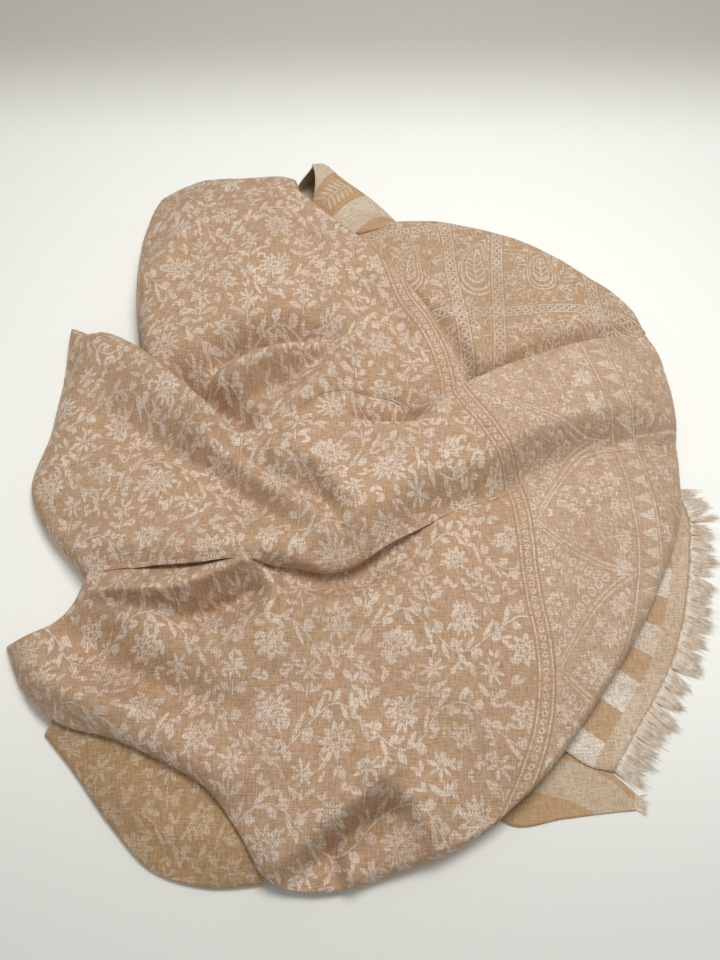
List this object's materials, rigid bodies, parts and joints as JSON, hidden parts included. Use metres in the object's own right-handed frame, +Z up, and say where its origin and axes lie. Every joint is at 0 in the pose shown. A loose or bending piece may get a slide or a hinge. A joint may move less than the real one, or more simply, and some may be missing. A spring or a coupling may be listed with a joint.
{
  "type": "pashmina shawl",
  "caption": "Woven shawl with an all-over floral jacquard, bordered ends and a short fringe, dropped on a surface in a loose rounded heap.",
  "frame": {"origin": "middle of the heap's box, at the surface that it lies on", "axes": "+Z up from the surface; +Y to the back of the heap, away from the wide front panel; +X to the fringed end"},
  "size_m": [0.6381, 0.7361, 0.0791],
  "materials": {
    "cloth": "matte wool and viscose jacquard, tan ground with pale grey-beige flowers",
    "banded_end": "matte tan weave with pale satin bars",
    "fringe": "loose pale warp threads"
  },
  "bodies": {
    "root": {"rolled_fold": "cloth", "front_panel": "cloth", "dome_stretch": "cloth", "top_right_panel": "cloth", "back_corner": "cloth", "lower_left_layer": "cloth", "fringed_end": "banded_end", "end_corner": "banded_end", "end_fringe": "fringe", "corner_fringe": "fringe", "hidden_layers": "cloth"}
  },
  "joints": []
}
